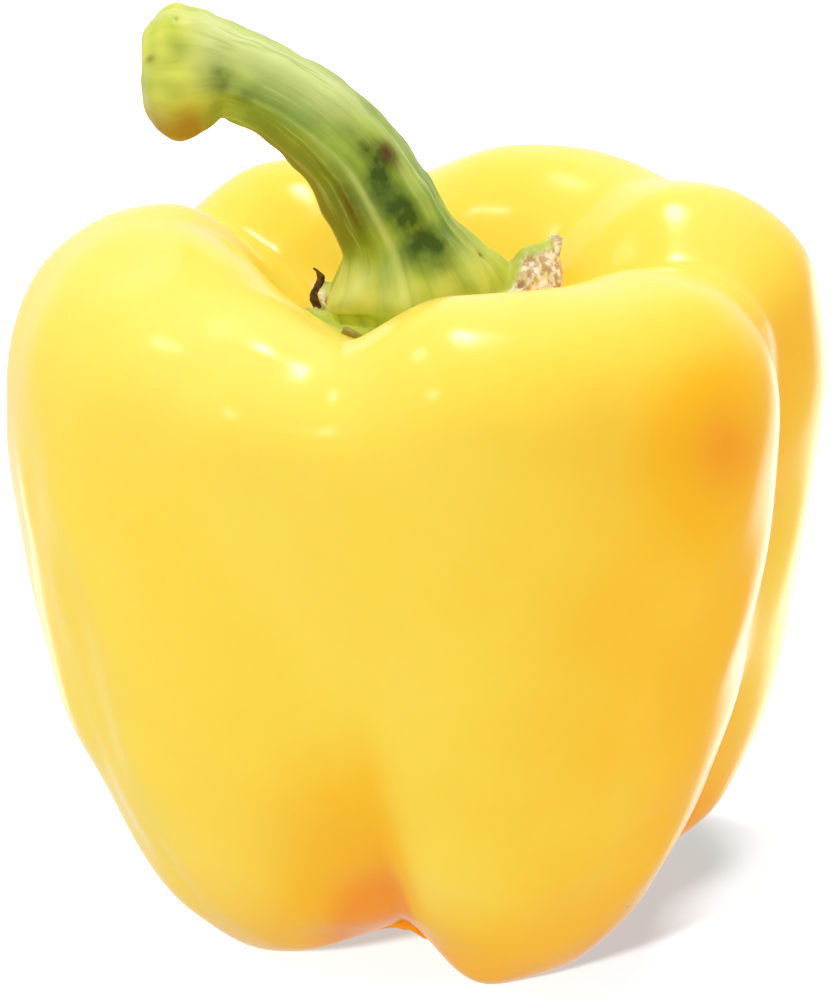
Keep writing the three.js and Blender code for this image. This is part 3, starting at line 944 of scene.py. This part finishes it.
# Strength of the light from straight above, from the horizon and from straight below
DOME_TOP = 0.42
DOME_EDGE = 1.18
DOME_BELOW = 1.08
# What the skin mirrors: an even haze, and a brighter backdrop over these shares of the way to +Y
HAZE = 0.5
BACKDROP = 0.95
BACKDROP_EDGE = (0.5, 0.9)
# Azimuth, elevation, inner and outer half angle and strength of the cards that edge the lobes
CARDS = ((118, -25, 3, 7, 1.5), (56, -20, 10, 18, 1.9))
# Name, azimuth, elevation, distance, size and power of each lamp
FLOOR_LAMPS = (
    ("floor_back", 140, 60, 900, 110, 26.0),
    ("floor_left", 215, 45, 900, 110, 33.0),
    ("floor_front", 236, 17, 900, 110, 66.0),
    ("floor_right", 325, 76, 900, 220, 26.0),
)
SOFTBOXES = (
    ("top_softbox", 86, 76, 900, 240, 3.5),
    ("left_softbox", 172, 60, 900, 90, 0.45),
    ("front_softbox", 224, 47, 900, 90, 0.45),
)
FILLS = (
    ("left_fill", 193, 24, 1000, 600, 1.1),
    ("right_fill", 335, 30, 1000, 600, 1.0),
)


def make_camera():
    data = bpy.data.cameras.new("camera")
    data.lens = CAMERA_LENS
    camera = bpy.data.objects.new("camera", data)
    bpy.context.scene.collection.objects.link(camera)
    rise = math.radians(CAMERA_ELEVATION)
    back = Vector((0, -math.cos(rise), math.sin(rise)))
    camera.location = (Vector(CAMERA_TARGET) + back * CAMERA_DISTANCE) * MM
    camera.rotation_euler = (-back).to_track_quat("-Z", "Y").to_euler()
    bpy.context.scene.camera = camera


def make_floor():
    half = FLOOR_HALF * MM
    corners = [(-half, -half, 0), (half, -half, 0), (half, half, 0), (-half, half, 0)]
    mesh = bpy.data.meshes.new("floor")
    mesh.from_pydata(corners, [], [(0, 1, 2, 3)])
    nodes = Nodes(bpy.data.materials.new("floor_white"))
    nodes.shader.inputs["Base Color"].default_value = (FLOOR_TONE, FLOOR_TONE, FLOOR_TONE, 1)
    nodes.shader.inputs["Roughness"].default_value = FLOOR_ROUGHNESS
    nodes.shader.inputs["Specular IOR Level"].default_value = FLOOR_SPECULAR
    nodes.shader.inputs["Emission Color"].default_value = (1, 1, 1, 1)
    nodes.shader.inputs["Emission Strength"].default_value = FLOOR_GLOW
    mesh.materials.append(nodes.owner)
    floor = bpy.data.objects.new("floor", mesh)
    bpy.context.scene.collection.objects.link(floor)
    floor.visible_glossy = False
    floor.visible_diffuse = False
    return floor


def away_from_fruit(azimuth, elevation):
    rise, turn = math.radians(elevation), math.radians(azimuth)
    return Vector((math.cos(turn) * math.cos(rise), math.sin(turn) * math.cos(rise), math.sin(rise)))


def make_light(name, azimuth, elevation, distance, size, power):
    """Round lamp that faces the fruit from an azimuth and elevation, lengths in millimetres."""
    data = bpy.data.lights.new(name, "AREA")
    data.shape = "DISK"
    data.size = size * MM
    data.energy = power
    lamp = bpy.data.objects.new(name, data)
    bpy.context.scene.collection.objects.link(lamp)
    away = away_from_fruit(azimuth, elevation)
    lamp.location = (Vector(CAMERA_TARGET) + away * distance) * MM
    lamp.rotation_euler = (-away).to_track_quat("-Z", "Y").to_euler()
    return lamp


def make_highlight(*place):
    """Small softbox whose light throws no shadow."""
    make_light(*place).data.use_shadow = False


def make_fill(*place):
    """Large lamp that throws no shadow and shows in no reflection."""
    lamp = make_light(*place)
    lamp.visible_glossy = False
    lamp.data.use_shadow = False


def make_floor_lamp(floor, *place):
    """Lamp that lights the floor alone, where the fruit shades it."""
    only_floor = bpy.data.collections.new(place[0])
    only_floor.objects.link(floor)
    make_light(*place).light_linking.receiver_collection = only_floor


def make_world():
    """Pale dome, in place of which the skin mirrors a haze, a backdrop and two cards."""
    world = bpy.data.worlds.new("studio")
    nodes = Nodes(world, "Background")
    direction = nodes.add("TexCoord").outputs["Generated"]
    parts = nodes.add("SeparateXYZ", Vector=direction).outputs
    height = parts["Z"]
    above = nodes.math("MAXIMUM", height, 0.0)
    below = nodes.math("MINIMUM", height, 0.0)
    dome = nodes.math("MULTIPLY_ADD", above, DOME_TOP - DOME_EDGE, DOME_EDGE)
    dome = nodes.math("MULTIPLY_ADD", below, DOME_EDGE - DOME_BELOW, dome)
    behind = nodes.ramp(parts["Y"], *BACKDROP_EDGE)
    mirrored = nodes.math("MULTIPLY_ADD", behind, BACKDROP - HAZE, HAZE)
    for azimuth, elevation, inner, outer, strength in CARDS:
        facing = nodes.add("VectorMath", {"operation": "DOT_PRODUCT"})
        nodes.set(facing.inputs[0], direction)
        nodes.set(facing.inputs[1], away_from_fruit(azimuth, elevation))
        edge = (math.cos(math.radians(angle)) for angle in (outer, inner))
        card = nodes.ramp(facing.outputs["Value"], *edge)
        mirrored = nodes.math("MULTIPLY_ADD", card, strength, mirrored)
    path = nodes.add("LightPath").outputs
    dome = nodes.mix_value(path["Is Glossy Ray"], dome, mirrored)
    nodes.set(nodes.shader.inputs["Strength"], nodes.mix_value(path["Is Camera Ray"], dome, 1.0))
    nodes.shader.inputs["Color"].default_value = (1, 1, 1, 1)
    bpy.context.scene.world = world
    bpy.context.scene.view_settings.view_transform = "Standard"


make_camera()
make_world()
floor = make_floor()
for lamp in FLOOR_LAMPS:
    make_floor_lamp(floor, *lamp)
for softbox in SOFTBOXES:
    make_highlight(*softbox)
for fill in FILLS:
    make_fill(*fill)

fruit = make_fruit()
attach(fruit, "root")
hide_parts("fruit")

stem = make_stem()
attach(stem, "root")
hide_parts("stem")

curl = make_curl()
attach(curl, "root")
